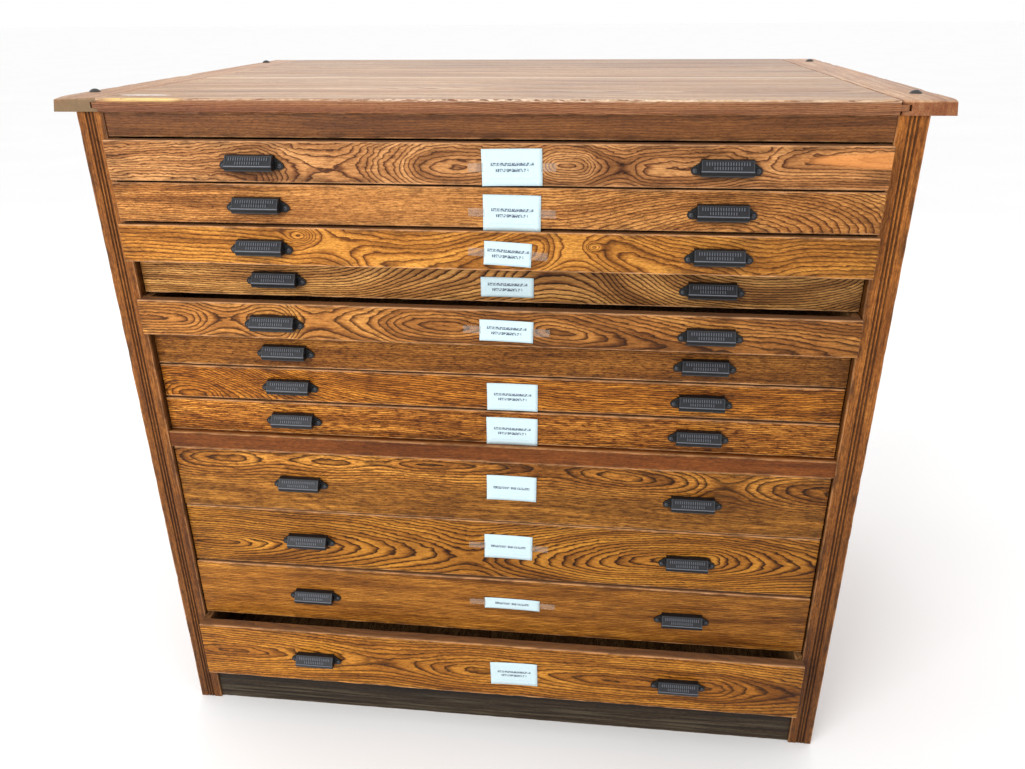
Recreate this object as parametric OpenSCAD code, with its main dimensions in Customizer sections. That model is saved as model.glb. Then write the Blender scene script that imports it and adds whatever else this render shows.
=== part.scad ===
// Flat file cabinet: a bank of shallow map drawers over a bank of deep ones, each drawer
// sliding on wooden runners in a post, rail and panel case under a boarded top.
// +X is to the right, -Y is the front and +Z is up. The origin is on the floor, under the
// middle of the whole cabinet with its drawers at rest. Sizes are in millimetres.

/* [Case] */
// Width over the corner posts
case_w = 1220; // [1100:10:1300]
// Depth over the corner posts
case_d = 880; // [860:10:960]
// Width of a corner post
post_w = 42; // [40:1:50]
// Depth of a corner post
post_d = 57; // [54:1:70]
// Number of flutes down each front post
flute_count = 3; // [1:1:5]
// Spacing of the flutes
flute_pitch = 5.4; // [4:0.1:7]
// Radius of a flute
flute_r = 1.7; // [1:0.1:1.9]
// Height of the rail under the top
top_rail_h = 36; // [32:1:48]
// Height of the rail between the two banks of drawers
mid_rail_h = 30; // [26:1:40]
// Thickness of the rails
rail_t = 22; // [18:1:24]
// Height of the toe board
toe_h = 90; // [70:1:110]
// Thickness of the side and back panels
panel_t = 9; // [6:1:12]

/* [Top] */
// Thickness of the top
top_t = 20; // [16:1:28]
// Overhang of the top beyond the posts at each side
top_side_over = 32; // [24:1:40]
// Overhang of the end boards ahead of the front posts
top_front_over = 6; // [2:1:20]
// Overhang of the top behind the back posts
top_back_over = 18; // [5:1:30]
// Width of the end board across each end of the top
end_board_w = 72; // [60:1:80]
// How far the long boards stand ahead of the end boards
boards_proud = 4; // [0:1:8]
// Gap that has opened between the long boards and the right end board
shrink_gap = 3.5; // [0.5:0.5:5]
// Width of the front one of the long boards
front_board_w = 370; // [280:5:420]
// Diameter of the domed bolt heads
bolt_head_d = 18; // [14:1:22]
// Distance of the bolts from the front and back edges
bolt_inset_y = 94; // [80:1:110]
// Distance of the left bolts from the left edge
bolt_inset_left = 14; // [12:1:16]
// Distance of the right bolts from the right edge
bolt_inset_right = 28; // [12:1:28]

/* [Drawers] */
// Number of shallow drawers
shallow_count = 8; // [8:1:8]
// Height taken by a shallow drawer
shallow_pitch = 62.75; // [56:0.25:70]
// Number of deep drawers
deep_count = 4; // [4:1:4]
// Height taken by a deep drawer
deep_pitch = 123.5; // [100:0.5:130]
// Gap between one drawer front and the next
front_gap = 3.5; // [2:0.5:5]
// Gap between a drawer and the post beside it
side_gap = 2; // [1:0.5:4]
// Thickness of a drawer front
front_t = 20; // [18:1:25]
// Thickness of a drawer side
side_t = 13; // [10:1:16]
// Thickness of a drawer back
back_t = 12; // [10:1:16]
// Thickness of a drawer bottom
bottom_t = 5; // [4:0.5:8]
// Depth of a drawer from face to back
drawer_l = 813; // [760:1:813]
// Depth of the hood over the back of a shallow drawer
hood_d = 90; // [60:5:120]
// Distance that a drawer's face stands out of the case at rest, from the top drawer down
rest_out = [20, 17, 24, -15, 16, -14, -14, -13, -6, -8, -5, 30]; // each from -18 to 40
// Distance that a drawer's face sinks into the case at its stop
stop_in = 20; // [18:1:20]

/* [Pulls] */
// Width of a pull over its ears
pull_w = 98; // [90:1:110]
// Width of the hood of a pull
hood_w = 72; // [64:1:78]
// Height of a pull
pull_h = 22; // [20:1:26]
// How far the lip of a pull stands ahead of the drawer front
pull_out = 20; // [18:1:24]
// Thickness of the casting
cast_t = 3; // [2:0.5:3.5]
// Distance of the left pull's middle from the middle of the drawer
pull_left_x = 339; // [250:1:420]
// Distance of the right pull's middle from the middle of the drawer
pull_right_x = 346; // [250:1:420]

/* [Hidden] */
drawer_count = shallow_count + deep_count;

// Play left where two pieces of one node meet, so that each stays a separate solid
play = 0.15;

// Levels, from the floor up
deep_base_z = toe_h + 2;
mid_rail_z = deep_base_z + deep_count * deep_pitch;
shallow_base_z = mid_rail_z + mid_rail_h;
top_rail_z = shallow_base_z + shallow_count * shallow_pitch;
case_h = top_rail_z + top_rail_h;
top_z = case_h + top_t;

// Places from front to back. The origin is under the middle of the whole depth, which runs
// from the lip of the pull that stands out furthest to the back edge of the top.
reach = max(rest_out) + pull_out;
case_y = reach - (reach + case_d + top_back_over) / 2;
back_y = case_y + case_d;
back_rail_y = back_y - 4 - rail_t;
stop_t = 20;
stop_y = back_rail_y - stop_t;

// Places across, from the middle out
case_x = case_w / 2;
bay_x = case_x - post_w;
drawer_x = bay_x - side_gap;
batten_t = 15;
side_rail_x = bay_x + batten_t;
top_x = case_x + top_side_over;
boards_x = top_x - end_board_w;

// Rails, panels and their joints
tenon_l = 12;
tenon_t = 8;
tenon_shoulder = 5;
rail_set = 2;
toe_t = 20;
toe_set = 4;
frame_rail_h = 60;
low_rail_h = 90;
low_rail_z = 40;
muntin_w = 60;
panel_groove = 6;
flute_shift = 1;

// The stretches of height that the panels fill, between the rails of the sides and the back
low_rail_top = low_rail_z + low_rail_h;
frame_mid_z = mid_rail_z + (mid_rail_h - frame_rail_h) / 2;
frame_top_z = case_h - frame_rail_h;
PANEL_HEIGHTS = [[low_rail_top, frame_mid_z], [frame_mid_z + frame_rail_h, frame_top_z]];

// The top's boards and end boards
tongue_l = 12;
tongue_t = 8;
top_front_y = case_y - top_front_over;
top_back_y = back_y + top_back_over;

// Runners: each carries the sides of the drawer above it and holds down the drawer below
runner_w = 20;
runner_h = 12;
runner_y = case_y + stop_in + front_t + 4;
lift = 2;
batten_w = 40;
batten_z = 60;
cleat_w = 32;
cleat_h = 28;
cleat_spacing = 380;
stop_w = 40;
stop_x = 500;

// Drawer joinery
bottom_lift = 6;
bottom_groove = 5;
front_groove = 6;
tail_l = 13;
tail_slope = 2.5;
pin_w = 6;
housing = 4;
hood_t = 5;

// The casting of a pull
hood_top_out = 9;
lip_h = 7;
ear_r = 6;
ear_h = 19;

// Screws and bolts
screw_r = 1.9;
screw_l = 12;
screw_head_r = 3.8;
screw_head_h = 2.2;
slot_w = 1;
bolt_r = 4;
bolt_head_h = 5;
nut_r = 7.5;
nut_h = 6;
side_bolt_d = 20;
side_bolt_l = 36;
side_bolt_y = 28;
side_bolt_z = 404;

CASE_NODES = [
    "top_boards", "top_end_left", "top_end_right", "top_bolts", "top_cleats",
    "post_front_left", "post_front_right", "post_back_left", "post_back_right",
    "rail_top", "rail_middle", "toe_board",
    "side_rails_left", "side_rails_right", "side_panels_left", "side_panels_right",
    "back_rails", "back_panels", "runner_battens", "runners_left", "runners_right",
    "kickers", "drawer_stops", "side_bolt"
];
DRAWER_PIECES = ["front", "box", "pulls"];

// A drawer's number counts from the top. Its slot is the height that it takes in the case.
function drawer_node(i, piece) = str("drawer_", i < 10 ? "0" : "", i, "_", piece);
function is_shallow(i) = i <= shallow_count;
function pitch(i) = is_shallow(i) ? shallow_pitch : deep_pitch;
function slot_z(i) = is_shallow(i)
    ? top_rail_z - i * shallow_pitch
    : mid_rail_z - (i - shallow_count) * deep_pitch;
function face_y(i) = case_y - rest_out[i - 1];
function side_z(i) = slot_z(i) + runner_h;
function side_top(i) = slot_z(i) + pitch(i) - lift;
function bottom_z(i) = side_z(i) + bottom_lift;
function tail_count(i) = is_shallow(i) ? 2 : 4;

// A box between two corners
module block(low, high) {
    translate(low) cube(high - low);
}

// The same shape at the right and at the left
module both_sides() {
    children();
    mirror([1, 0, 0]) children();
}

// A shallow dome standing on z = 0
module dome(r, h) {
    sphere_r = (r * r + h * h) / (2 * h);
    intersection() {
        translate([0, 0, h - sphere_r]) sphere(sphere_r, $fn = 64);
        cylinder(r = r + 1, h = h + 1, $fn = 48);
    }
}

// ---- Front: posts, rails and toe board ----

// Tenons at both ends of a front rail, as left on the rail and cut out of the posts
module rail_tenons(z, h) {
    mid_y = case_y + rail_set + rail_t / 2;
    both_sides()
        block([bay_x - 1, mid_y - tenon_t / 2, z + tenon_shoulder],
            [bay_x + tenon_l, mid_y + tenon_t / 2, z + h - tenon_shoulder]);
}

module front_rail(z, h) {
    block([-bay_x, case_y + rail_set, z], [bay_x, case_y + rail_set + rail_t, z + h]);
    rail_tenons(z, h);
}

module rail_top() {
    color("peru") front_rail(top_rail_z, top_rail_h);
}

module rail_middle() {
    color("sienna") front_rail(mid_rail_z, mid_rail_h);
}

module toe_board() {
    color("dimgray")
        block([-bay_x, case_y + toe_set, 0], [bay_x, case_y + toe_set + toe_t, toe_h]);
}

module flutes() {
    first_x = case_x - post_w / 2 + flute_shift - (flute_count - 1) / 2 * flute_pitch;
    for (i = [0:flute_count - 1])
        translate([first_x + i * flute_pitch, case_y, -1])
            cylinder(r = flute_r, h = case_h + 2, $fn = 24);
}

module front_post() {
    color("saddlebrown") difference() {
        block([bay_x, case_y, 0], [case_x, case_y + post_d, case_h]);
        flutes();
        rail_tenons(top_rail_z, top_rail_h);
        rail_tenons(mid_rail_z, mid_rail_h);
        side_panel_set();
    }
}

module post_front_right() {
    front_post();
}

module post_front_left() {
    difference() {
        mirror([1, 0, 0]) front_post();
        side_bolt_shank();
    }
}

module side_bolt_shank() {
    translate([-case_x - 1, case_y + side_bolt_y, side_bolt_z]) rotate([0, 90, 0])
        cylinder(r = bolt_r, h = side_bolt_l + 1, $fn = 32);
}

module side_bolt() {
    color("dimgray") {
        side_bolt_shank();
        translate([-case_x, case_y + side_bolt_y, side_bolt_z]) rotate([0, -90, 0])
            dome(side_bolt_d / 2, bolt_head_h);
    }
}

// ---- Sides and back: frames with loose panels in grooves ----

module back_post() {
    color("saddlebrown") difference() {
        block([bay_x, back_y - post_d, 0], [case_x, back_y, case_h]);
        side_panel_set();
        back_panel_set();
    }
}

module post_back_right() {
    back_post();
}

module post_back_left() {
    mirror([1, 0, 0]) back_post();
}

// The panels of the right side, which also cut their own grooves
module side_panel_set() {
    panel_x = side_rail_x + rail_t / 2;
    mid_y = (case_y + back_y) / 2;
    near = [case_y + post_d, mid_y - muntin_w / 2];
    far = [mid_y + muntin_w / 2, back_y - post_d];
    for (zs = PANEL_HEIGHTS)
        for (ys = [near, far])
            block([panel_x - panel_t / 2, ys[0] - panel_groove, zs[0] - panel_groove],
                [panel_x + panel_t / 2, ys[1] + panel_groove, zs[1] + panel_groove]);
}

// The panels of the back, which also cut their own grooves
module back_panel_set() {
    panel_y = back_rail_y + rail_t / 2;
    for (zs = PANEL_HEIGHTS)
        both_sides()
            block([muntin_w / 2 - panel_groove, panel_y - panel_t / 2, zs[0] - panel_groove],
                [bay_x + panel_groove, panel_y + panel_t / 2, zs[1] + panel_groove]);
}

// Three rails over a width, with an upright muntin between each and the next
module frame_pieces(length, thickness) {
    for (zs = [[low_rail_z, low_rail_top], [frame_mid_z, frame_mid_z + frame_rail_h],
            [frame_top_z, case_h]])
        block([-length / 2, 0, zs[0]], [length / 2, thickness, zs[1]]);
    for (zs = PANEL_HEIGHTS)
        block([-muntin_w / 2, 0, zs[0] + play], [muntin_w / 2, thickness, zs[1] - play]);
}

module side_rails() {
    color("sienna") difference() {
        translate([side_rail_x + rail_t, (case_y + back_y) / 2, 0]) rotate([0, 0, 90])
            frame_pieces(case_d - 2 * post_d, rail_t);
        side_panel_set();
    }
}

module side_rails_right() {
    side_rails();
}

module side_rails_left() {
    mirror([1, 0, 0]) side_rails();
}

module side_panels_right() {
    color("peru") side_panel_set();
}

module side_panels_left() {
    color("peru") mirror([1, 0, 0]) side_panel_set();
}

module back_rails() {
    color("sienna") difference() {
        translate([0, back_rail_y, 0]) frame_pieces(2 * bay_x, rail_t);
        back_panel_set();
    }
}

module back_panels() {
    color("peru") back_panel_set();
}

// ---- Inside: runners, kickers, battens and stops ----

// One strip along the right side of the case, with its underside at z
module side_strip(z) {
    block([bay_x - runner_w, runner_y, z], [bay_x, back_rail_y, z + runner_h]);
}

module runners_right() {
    color("burlywood") for (i = [1:drawer_count]) side_strip(slot_z(i));
}

module runners_left() {
    mirror([1, 0, 0]) runners_right();
}

// Strips that hold down the top drawer of each bank when it is pulled out
module kickers() {
    color("burlywood") both_sides() {
        side_strip(top_rail_z);
        side_strip(mid_rail_z);
    }
}

// Uprights halfway back that the runners are fixed to
module runner_battens() {
    mid_y = (case_y + back_y) / 2;
    color("burlywood") both_sides()
        block([bay_x, mid_y - batten_w / 2, batten_z],
            [side_rail_x, mid_y + batten_w / 2, case_h - play]);
}

// Uprights on the back frame that the drawers come to rest against
module drawer_stops() {
    color("burlywood") both_sides()
        block([stop_x, stop_y, batten_z], [stop_x + stop_w, back_rail_y, top_rail_z]);
}

// ---- Top: long boards tongued into an end board at each end ----

// One long board between two distances from the front. Its right end has shrunk back.
module long_board(y0, y1) {
    tongue_z = case_h + (top_t - tongue_t) / 2;
    block([-boards_x + play, y0, case_h], [boards_x - shrink_gap, y1, top_z]);
    block([-boards_x - tongue_l + shrink_gap, y0, tongue_z],
        [boards_x + tongue_l - shrink_gap, y1, tongue_z + tongue_t]);
}

module top_boards() {
    front = top_front_y - boards_proud;
    seam = front + front_board_w;
    back_board_w = (top_back_y - seam) / 2;
    color("tan") {
        long_board(front, seam - play);
        long_board(seam + play, seam + back_board_w - play);
        long_board(seam + back_board_w + play, top_back_y);
    }
}

// The end board at the right, with its groove for the tongues
module end_board() {
    groove_z = case_h + (top_t - tongue_t) / 2 - play;
    difference() {
        block([boards_x, top_front_y, case_h], [top_x, top_back_y, top_z]);
        block([boards_x - 1, top_front_y - 1, groove_z],
            [boards_x + tongue_l, top_back_y + 1, groove_z + tongue_t + 2 * play]);
    }
}

module top_end_right() {
    color("burlywood") difference() {
        end_board();
        top_bolt_holes();
    }
}

module top_end_left() {
    color("darkkhaki") difference() {
        mirror([1, 0, 0]) end_board();
        top_bolt_holes();
    }
}

module at_top_bolts() {
    for (x = [-top_x + bolt_inset_left, top_x - bolt_inset_right])
        for (y = [top_front_y + bolt_inset_y, top_back_y - bolt_inset_y])
            translate([x, y, 0]) children();
}

module top_bolt_holes() {
    at_top_bolts() translate([0, 0, case_h - 1]) cylinder(r = bolt_r + play, h = top_t + 2, $fn = 32);
}

// Domed bolts through the end boards, each with a nut under the overhang
module top_bolts() {
    shank_l = top_t + nut_h + 2;
    color("dimgray") at_top_bolts() {
        translate([0, 0, top_z]) dome(bolt_head_d / 2, bolt_head_h);
        translate([0, 0, top_z - shank_l]) cylinder(r = bolt_r, h = shank_l + 1, $fn = 32);
        translate([0, 0, case_h - nut_h]) difference() {
            cylinder(r = nut_r, h = nut_h, $fn = 6);
            translate([0, 0, -1]) cylinder(r = bolt_r + play, h = nut_h + 2, $fn = 32);
        }
    }
}

// Battens under the top that keep the boards flat
module top_cleats() {
    color("burlywood") for (x = [-cleat_spacing, 0, cleat_spacing])
        block([x - cleat_w / 2, case_y + rail_set + rail_t, case_h - cleat_h],
            [x + cleat_w / 2, back_rail_y, case_h]);
}

// ---- Drawers ----

// The dovetails of both sides of a drawer, as left on the sides and cut out of the front
module tails(i) {
    step = (side_top(i) - side_z(i)) / tail_count(i);
    wide = step / 2 - pin_w / 2;
    narrow = wide - tail_slope;
    shoulder = face_y(i) + front_t;
    tail = [[shoulder - tail_l, -wide], [shoulder, -narrow], [shoulder + 1, -narrow],
        [shoulder + 1, narrow], [shoulder, narrow], [shoulder - tail_l, wide]];
    both_sides()
        for (k = [0:tail_count(i) - 1])
            translate([drawer_x - side_t, 0, side_z(i) + (k + 0.5) * step])
                rotate([90, 0, 90]) linear_extrude(side_t) polygon(tail);
}

// The groove round the front and sides that holds the bottom, grown by a little play
module bottom_panel(i, grow) {
    panel_x = drawer_x - side_t + bottom_groove - play + grow;
    block([-panel_x, face_y(i) + front_t - front_groove + play - grow, bottom_z(i) - grow],
        [panel_x, face_y(i) + drawer_l - play + 2 * grow, bottom_z(i) + bottom_t + grow]);
}

module drawer_front(i) {
    low_z = slot_z(i) + front_gap / 2;
    high_z = slot_z(i) + pitch(i) - front_gap / 2;
    color(is_shallow(i) ? "goldenrod" : "darkgoldenrod") difference() {
        block([-drawer_x, face_y(i), low_z], [drawer_x, face_y(i) + front_t, high_z]);
        tails(i);
        bottom_panel(i, play);
        at_pulls(i) at_screws() screw_shank();
    }
}

module drawer_sides(i) {
    difference() {
        union() {
            both_sides()
                block([drawer_x - side_t, face_y(i) + front_t, side_z(i)],
                    [drawer_x, face_y(i) + drawer_l, side_top(i)]);
            tails(i);
        }
        bottom_panel(i, play);
        drawer_back(i, play);
    }
}

// The back stands on the bottom, housed in the sides and under the hood where there is one
module drawer_back(i, grow) {
    back_x = drawer_x - side_t + housing - play + grow;
    high_z = side_top(i) - (is_shallow(i) ? hood_t : 0);
    block([-back_x, face_y(i) + drawer_l - back_t - grow, bottom_z(i) + bottom_t + play],
        [back_x, face_y(i) + drawer_l + grow, high_z + grow]);
}

// A thin board over the back of a shallow drawer that keeps the sheets down
module drawer_hood(i) {
    hood_x = drawer_x - side_t - play;
    block([-hood_x, face_y(i) + drawer_l - hood_d, side_top(i) - hood_t + play],
        [hood_x, face_y(i) + drawer_l, side_top(i)]);
}

module drawer_box(i) {
    color("burlywood") {
        drawer_sides(i);
        bottom_panel(i, 0);
        drawer_back(i, 0);
        if (is_shallow(i)) drawer_hood(i);
    }
}

// ---- Pulls: a cast hood with an ear at each end, and two screws ----

module at_pulls(i) {
    z = slot_z(i) + (pitch(i) - pull_h) / 2;
    for (x = [-pull_left_x, pull_right_x])
        translate([x, face_y(i), z]) children();
}

module at_screws() {
    for (x = [-1, 1])
        translate([x * (pull_w / 2 - ear_r), 0, ear_r]) rotate([90, 0, 0]) children();
}

// A shank along -Z, which at_screws turns into the drawer front
module screw_shank() {
    translate([0, 0, -screw_l]) cylinder(r = screw_r, h = screw_l + cast_t + 1, $fn = 24);
}

module screw() {
    screw_shank();
    translate([0, 0, cast_t + play]) difference() {
        dome(screw_head_r, screw_head_h);
        translate([-screw_head_r, -slot_w / 2, screw_head_h / 2])
            cube([2 * screw_head_r, slot_w, screw_head_h]);
    }
}

// Profile of the hood, as distances out from the drawer front and heights
HOOD_OUTER = [[0, pull_h], [-hood_top_out, pull_h], [-pull_out, lip_h], [-pull_out + 0.5, 0]];
HOOD_INNER = [[-pull_out + cast_t, 0], [-pull_out + cast_t + 0.5, lip_h - 1],
    [-hood_top_out + 1, pull_h - cast_t], [0, pull_h - cast_t]];

module hood_slice(length, outline) {
    translate([-length / 2, 0, 0]) rotate([90, 0, 90]) linear_extrude(length) polygon(outline);
}

// The right ear: a sloping shoulder down to a round end
module ear() {
    round_x = pull_w / 2 - ear_r;
    rise = ear_h - ear_r;
    run = hood_w / 2 - round_x;
    angle = atan2(rise, run) - acos(ear_r / norm([run, rise]));
    rotate([90, 0, 0]) linear_extrude(cast_t) {
        polygon([[hood_w / 2 - 1, 0], [round_x, 0],
            [round_x + ear_r * cos(angle), ear_r + ear_r * sin(angle)], [hood_w / 2 - 1, ear_h]]);
        translate([round_x, ear_r]) circle(ear_r, $fn = 48);
    }
}

module pull() {
    cheek_x = (hood_w - cast_t) / 2;
    difference() {
        union() {
            hood_slice(hood_w, concat(HOOD_OUTER, HOOD_INNER));
            both_sides() {
                translate([cheek_x, 0, 0]) hood_slice(cast_t, concat(HOOD_OUTER, [[0, 0]]));
                ear();
            }
        }
        at_screws() cylinder(r = screw_r + play, h = 3 * cast_t, center = true, $fn = 24);
    }
}

module drawer_pulls(i) {
    color("darkslategray") at_pulls(i) {
        pull();
        at_screws() screw();
    }
}

top_boards();
top_end_left();
top_end_right();
top_bolts();
top_cleats();
post_front_left();
post_front_right();
post_back_left();
post_back_right();
rail_top();
rail_middle();
toe_board();
side_rails_left();
side_rails_right();
side_panels_left();
side_panels_right();
back_rails();
back_panels();
runner_battens();
runners_left();
runners_right();
kickers();
drawer_stops();
side_bolt();
for (i = [1:drawer_count]) {
    drawer_front(i);
    drawer_box(i);
    drawer_pulls(i);
}
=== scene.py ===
import math
from functools import partial

import bmesh
import bpy
from mathutils import Matrix, Vector, noise


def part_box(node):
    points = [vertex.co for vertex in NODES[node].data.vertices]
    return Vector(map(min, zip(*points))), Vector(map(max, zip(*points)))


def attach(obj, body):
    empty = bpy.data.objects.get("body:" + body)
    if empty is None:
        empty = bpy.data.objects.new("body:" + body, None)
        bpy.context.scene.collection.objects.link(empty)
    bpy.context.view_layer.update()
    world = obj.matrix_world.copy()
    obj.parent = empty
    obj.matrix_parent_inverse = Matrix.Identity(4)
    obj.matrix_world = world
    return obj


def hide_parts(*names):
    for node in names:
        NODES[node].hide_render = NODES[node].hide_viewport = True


# The looks of the flat file cabinet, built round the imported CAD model. Lengths are in
# metres in the CAD model's frame, and in millimetres where a name ends in _mm. +X is to
# the right, -Y is the front and +Z is up.

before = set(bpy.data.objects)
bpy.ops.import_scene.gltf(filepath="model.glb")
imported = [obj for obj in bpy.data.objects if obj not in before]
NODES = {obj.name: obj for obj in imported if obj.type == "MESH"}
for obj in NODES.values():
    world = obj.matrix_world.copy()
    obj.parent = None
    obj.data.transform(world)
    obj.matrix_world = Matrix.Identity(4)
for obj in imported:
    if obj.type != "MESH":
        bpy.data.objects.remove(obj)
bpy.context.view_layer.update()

MM = 0.001
NEAR = 0.01 * MM  # points closer than this are the same
DRAWERS = range(1, 13)


def drawer(number):
    return f"drawer_{number:02d}"


# ---------------------------------------------------------------- node helpers


def srgb(red, green, blue):
    """A colour from its 0 to 255 display values, as the linear values that nodes take."""
    linear = []
    for value in (red, green, blue):
        part = value / 255
        linear.append(part / 12.92 if part <= 0.04045 else ((part + 0.055) / 1.055) ** 2.4)
    return (*linear, 1.0)


class Number:
    """A node's output that takes part in sums."""

    def __init__(self, paint, socket):
        self.paint = paint
        self.socket = socket

    def apply(self, operation, *others):
        return self.paint.sum(operation, self, *others)

    def __add__(self, other):
        return self.apply("ADD", other)

    def __sub__(self, other):
        return self.apply("SUBTRACT", other)

    def __mul__(self, other):
        return self.apply("MULTIPLY", other)

    def __truediv__(self, other):
        return self.apply("DIVIDE", other)

    def __rsub__(self, other):
        return self.paint.sum("SUBTRACT", other, self)

    __radd__ = __add__
    __rmul__ = __mul__

    def squared(self):
        return self * self

    def root(self):
        return self.apply("SQRT")

    def size(self):
        return self.apply("ABSOLUTE")

    def within(self, low, high):
        """0 at low, 1 at high, smooth between them and held outside them."""
        node = self.paint.add("MapRange", interpolation_type="SMOOTHSTEP")
        for place, value in zip(("Value", "From Min", "From Max"), (self, low, high)):
            self.paint.put(node.inputs[place], value)
        return Number(self.paint, node.outputs[0])


class Paint:
    """One procedural material, and short calls that add nodes to it."""

    def __init__(self, name):
        self.material = bpy.data.materials.new(name)
        self.material.use_nodes = True
        self.tree = self.material.node_tree
        self.shader = self.tree.nodes["Principled BSDF"]

    def add(self, kind, **settings):
        node = self.tree.nodes.new("ShaderNode" + kind)
        for key, value in settings.items():
            setattr(node, key, value)
        return node

    def put(self, socket, value):
        if isinstance(value, Number):
            self.tree.links.new(value.socket, socket)
        else:
            socket.default_value = value

    def sum(self, operation, *values):
        node = self.add("Math", operation=operation)
        for place, value in enumerate(values):
            self.put(node.inputs[place], value)
        return Number(self, node.outputs[0])

    def space(self, centre, order):
        """The object's own coordinates from a centre, in millimetres, as (along, across, depth)."""
        place = self.add("TexCoord").outputs["Object"]
        shift = self.add("VectorMath", operation="SUBTRACT")
        self.tree.links.new(place, shift.inputs[0])
        shift.inputs[1].default_value = centre
        scale = self.add("VectorMath", operation="SCALE")
        self.tree.links.new(shift.outputs[0], scale.inputs[0])
        scale.inputs["Scale"].default_value = 1 / MM
        split = self.add("SeparateXYZ")
        self.tree.links.new(scale.outputs[0], split.inputs[0])
        return [Number(self, split.outputs["xyz".index(letter)]) for letter in order]

    def vector(self, parts):
        node = self.add("CombineXYZ")
        for place, value in enumerate(parts):
            self.put(node.inputs[place], value)
        return Number(self, node.outputs[0])

    def noise(self, space, grain_mm, detail, rough, seed=0.0):
        """Noise from 0 to 1 whose features are about grain_mm long in each direction."""
        node = self.add("TexNoise", noise_dimensions="4D")
        self.put(node.inputs["Vector"], self.vector([s / g for s, g in zip(space, grain_mm)]))
        self.put(node.inputs["Scale"], 1.0)
        self.put(node.inputs["Detail"], detail)
        self.put(node.inputs["Roughness"], rough)
        self.put(node.inputs["W"], seed)
        return Number(self, node.outputs[0])

    def curve(self, value, points, low, high):
        """A smooth curve through points whose heights run from low to high."""
        node = self.add("FloatCurve")
        line = node.mapping.curves[0]
        scaled = [(x, (y - low) / (high - low)) for x, y in points]
        line.points[0].location = scaled[0]
        line.points[1].location = scaled[-1]
        for x, y in scaled[1:-1]:
            line.points.new(x, y)
        node.mapping.update()
        self.put(node.inputs["Value"], value)
        return Number(self, node.outputs[0]) * (high - low) + low

    def ramp(self, value, stops):
        """Colours at positions from 0 to 1, given as display values."""
        node = self.add("ValToRGB")
        elements = node.color_ramp.elements
        while len(elements) < len(stops):
            elements.new(0.5)
        for element, (position, colour) in zip(elements, stops):
            element.position = position
            element.color = srgb(*colour)
        self.put(node.inputs[0], value)
        return Number(self, node.outputs[0])

    def mix(self, amount, first, second, blend="MIX"):
        node = self.add("Mix", data_type="RGBA", blend_type=blend)
        self.put(node.inputs[0], amount)
        self.put(node.inputs[6], first)
        self.put(node.inputs[7], second)
        return Number(self, node.outputs[2])

    def bump(self, height, distance_mm):
        node = self.add("Bump")
        self.put(node.inputs["Height"], height)
        self.put(node.inputs["Distance"], distance_mm * MM)
        self.tree.links.new(node.outputs[0], self.shader.inputs["Normal"])

    def finish(self, colour, roughness, metallic=0.0, shine=0.5, alpha=1.0):
        values = {"Base Color": colour, "Roughness": roughness, "Metallic": metallic,
                  "Specular IOR Level": shine, "Alpha": alpha}
        for name, value in values.items():
            self.put(self.shader.inputs[name], value)
        return self.material


# ---------------------------------------------------------------- wood


def growth_rings(paint, space, length, figure, seed):
    """Distance from the heart of the log, in millimetres, over one board.

    The board is a flat cut through nested cones. The figure gives how far the heart lies
    behind the face and how high it runs, along the length. Where the heart comes close the
    rings close into eyes, and where it runs away from the face they make nested arches.
    """
    along, across, depth = space
    share = along / length + 0.5
    heart_depth = paint.curve(share, figure["depth"], 0, 200)
    heart_height = paint.curve(share, figure["height"], -200, 200)
    long = figure.get("long", 1.0)
    slow = paint.noise(space, (140 * long, 40, 60), 1.0, 0.4, seed) - 0.5
    quick = paint.noise(space, (26 * long, 9, 30), 2.0, 0.5, seed + 3) - 0.5
    jagged = paint.noise(space, (8 * long, 4, 12), 1.0, 0.5, seed + 5) - 0.5
    crinkle = figure.get("crinkle", 4)
    wander = slow * figure.get("wander", 14) + quick * crinkle + jagged * 2.4
    up = across - heart_height + wander
    back = heart_depth + depth + quick * crinkle
    distance = (up.squared() + back.squared()).root()
    for x, z, reach_x, reach_z, strength in figure.get("knots", ()):
        part = ((along - x) / reach_x).squared() + ((across - z) / reach_z).squared()
        distance = distance - (part * -1).apply("EXPONENT") * strength
    return distance


# what a wood looks like unless it is told otherwise
WOOD_LOOK = {
    "bold": 1.0,  # how strongly the rings show
    "zoned": 0.85,  # how much darker some groups of rings are
    "fade": None,  # how far from the heart the rings fade out, in millimetres
    "tone": ((0, 1), (1, 1)),  # how light it is along its length
    "stained": 1.0,
    "fibres": 0.9,
    "speckled": 0.8,
    "speck_long": 11,  # how long the speckles are in millimetres
    "pores": 0.5,
    "half": None,  # half its height and half its length in millimetres, where its arrises are worn
    "worn": 0.7,
    "worn_tone": (214, 160, 112),
    "grime": 0.5,
    "marks": (),  # amount, colour and blend of each mark of its own
    "gloss": 0.42,
    "shine": 0.25,
    "turned": None,  # turns the grain in some places
}


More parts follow.
